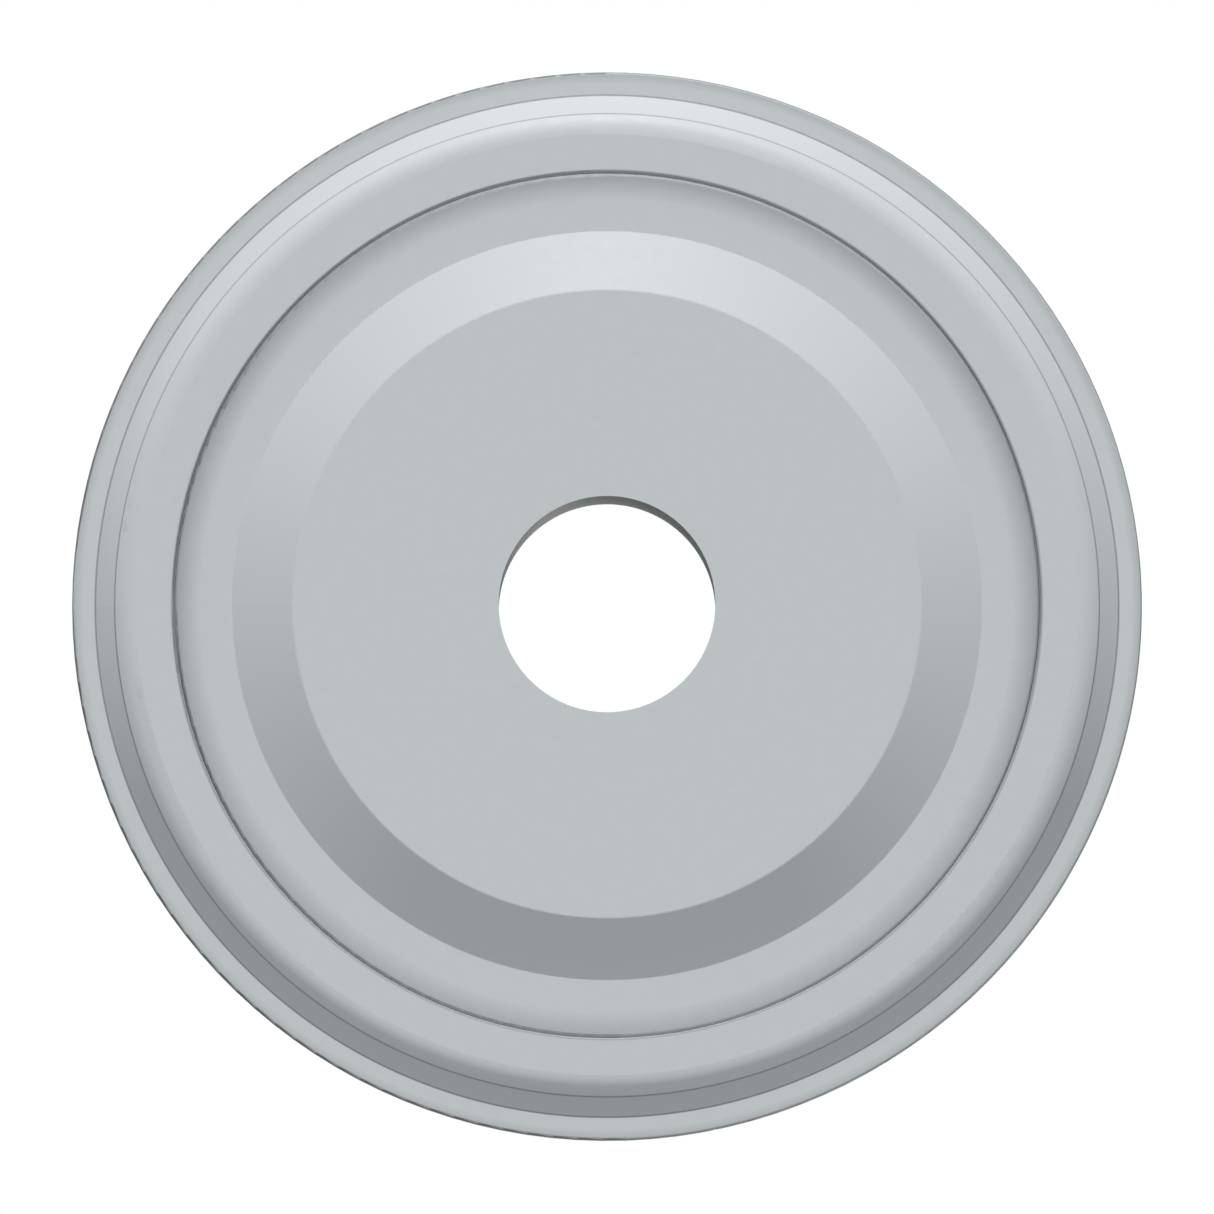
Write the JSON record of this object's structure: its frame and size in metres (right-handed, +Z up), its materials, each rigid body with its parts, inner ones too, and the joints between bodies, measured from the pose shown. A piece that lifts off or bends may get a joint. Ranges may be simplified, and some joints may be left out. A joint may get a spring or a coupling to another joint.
{
  "type": "ceiling air diffuser",
  "caption": "Round ceiling air diffuser with a stepped, bevelled face, a clear central outlet, a face plate that pulls down to open a ring slot, a duct spigot and swing-out clamps.",
  "frame": {"origin": "centre of the face plate's front plane, on the axis", "axes": "+Z up into the ceiling and the duct; the face looks down -Z; +Y points at bridge arm 1"},
  "size_m": [0.457, 0.457, 0.14],
  "materials": {
    "face_paint": "light cool-grey satin powder coat",
    "galvanised_sheet": "hot-dip galvanised steel sheet with fine spangle",
    "sleeve_aluminium": "grey satin paint on a spun aluminium tube",
    "black_rubber": "black EPDM rubber, matt",
    "grey_foam": "closed-cell grey foam strip",
    "fibre_gasket": "brown fibre gasket sheet",
    "bridge_steel": "black powder-coated steel",
    "rivet_aluminium": "bright aluminium blind rivets",
    "white_nylon": "natural white nylon",
    "zinc_steel": "bright zinc-plated steel",
    "spring_steel": "dark phosphated spring steel",
    "zinc_casting": "grey as-cast zinc alloy"
  },
  "bodies": {
    "frame": {"frame_ring": "face_paint", "back_pan": "galvanised_sheet", "spigot": "galvanised_sheet", "spigot_rivets": "rivet_aluminium", "spigot_seal": "black_rubber", "ceiling_gasket": "grey_foam", "bridge": "bridge_steel", "bridge_rivets": "rivet_aluminium", "hub_liner": "white_nylon", "guide_bush_1": "white_nylon", "guide_bush_2": "white_nylon", "guide_bush_3": "white_nylon", "post_grip_rings": "black_rubber", "clamp_screw_washers": "white_nylon", "clamp_post_rivets": "rivet_aluminium", "clamp_post_1": "galvanised_sheet", "clamp_post_2": "galvanised_sheet", "clamp_post_3": "galvanised_sheet"},
    "face": {"face_plate": "face_paint", "outlet_sleeve": "sleeve_aluminium", "sleeve_gasket": "fibre_gasket", "sleeve_studs": "zinc_steel", "sleeve_washers": "zinc_steel", "sleeve_nuts": "zinc_steel", "plate_edge_seal": "black_rubber", "post_stop_clips": "spring_steel", "guide_post_1": "zinc_steel", "guide_post_2": "zinc_steel", "guide_post_3": "zinc_steel"},
    "clamp_screw_1": {"clamp_screw_1": "zinc_steel", "clamp_screw_clip_1": "spring_steel"},
    "clamp_nut_1": {"clamp_nut_1": "zinc_steel", "clamp_keeper_1": "spring_steel"},
    "clamp_arm_1": {"clamp_arm_1": "zinc_casting"},
    "clamp_screw_2": {"clamp_screw_2": "zinc_steel", "clamp_screw_clip_2": "spring_steel"},
    "clamp_nut_2": {"clamp_nut_2": "zinc_steel", "clamp_keeper_2": "spring_steel"},
    "clamp_arm_2": {"clamp_arm_2": "zinc_casting"},
    "clamp_screw_3": {"clamp_screw_3": "zinc_steel", "clamp_screw_clip_3": "spring_steel"},
    "clamp_nut_3": {"clamp_nut_3": "zinc_steel", "clamp_keeper_3": "spring_steel"},
    "clamp_arm_3": {"clamp_arm_3": "zinc_casting"}
  },
  "joints": [
    {"name": "face_lowering", "type": "slide", "parent": "frame", "child": "face", "axis": [0, 0, -1], "range_m": [0, 0.02]},
    {"name": "clamp_1_travel", "type": "slide", "parent": "frame", "child": "clamp_nut_1", "axis": [0, 0, -1], "range_m": [0, 0.03]},
    {"name": "clamp_1_screw_turn", "type": "hinge", "parent": "frame", "child": "clamp_screw_1", "pos_m": [0.15069, 0.087, 0.06], "axis": [0, 0, 1], "range_deg": [0, 13500]},
    {"name": "clamp_1_swing", "type": "hinge", "parent": "clamp_nut_1", "child": "clamp_arm_1", "pos_m": [0.15069, 0.087, 0.06], "axis": [0, 0, 1], "range_deg": [0, 90]},
    {"name": "clamp_2_travel", "type": "slide", "parent": "frame", "child": "clamp_nut_2", "axis": [0, 0, -1], "range_m": [0, 0.03]},
    {"name": "clamp_2_screw_turn", "type": "hinge", "parent": "frame", "child": "clamp_screw_2", "pos_m": [-0.15069, 0.087, 0.06], "axis": [0, 0, 1], "range_deg": [0, 13500]},
    {"name": "clamp_2_swing", "type": "hinge", "parent": "clamp_nut_2", "child": "clamp_arm_2", "pos_m": [-0.15069, 0.087, 0.06], "axis": [0, 0, 1], "range_deg": [0, 90]},
    {"name": "clamp_3_travel", "type": "slide", "parent": "frame", "child": "clamp_nut_3", "axis": [0, 0, -1], "range_m": [0, 0.03]},
    {"name": "clamp_3_screw_turn", "type": "hinge", "parent": "frame", "child": "clamp_screw_3", "pos_m": [0, -0.174, 0.06], "axis": [0, 0, 1], "range_deg": [0, 13500]},
    {"name": "clamp_3_swing", "type": "hinge", "parent": "clamp_nut_3", "child": "clamp_arm_3", "pos_m": [0, -0.174, 0.06], "axis": [0, 0, 1], "range_deg": [0, 90]}
  ],
  "couplings": [
    {"joint": "clamp_1_screw_turn", "follows": "clamp_1_travel", "rad_per_m": 7854},
    {"joint": "clamp_2_screw_turn", "follows": "clamp_2_travel", "rad_per_m": 7854},
    {"joint": "clamp_3_screw_turn", "follows": "clamp_3_travel", "rad_per_m": 7854}
  ]
}
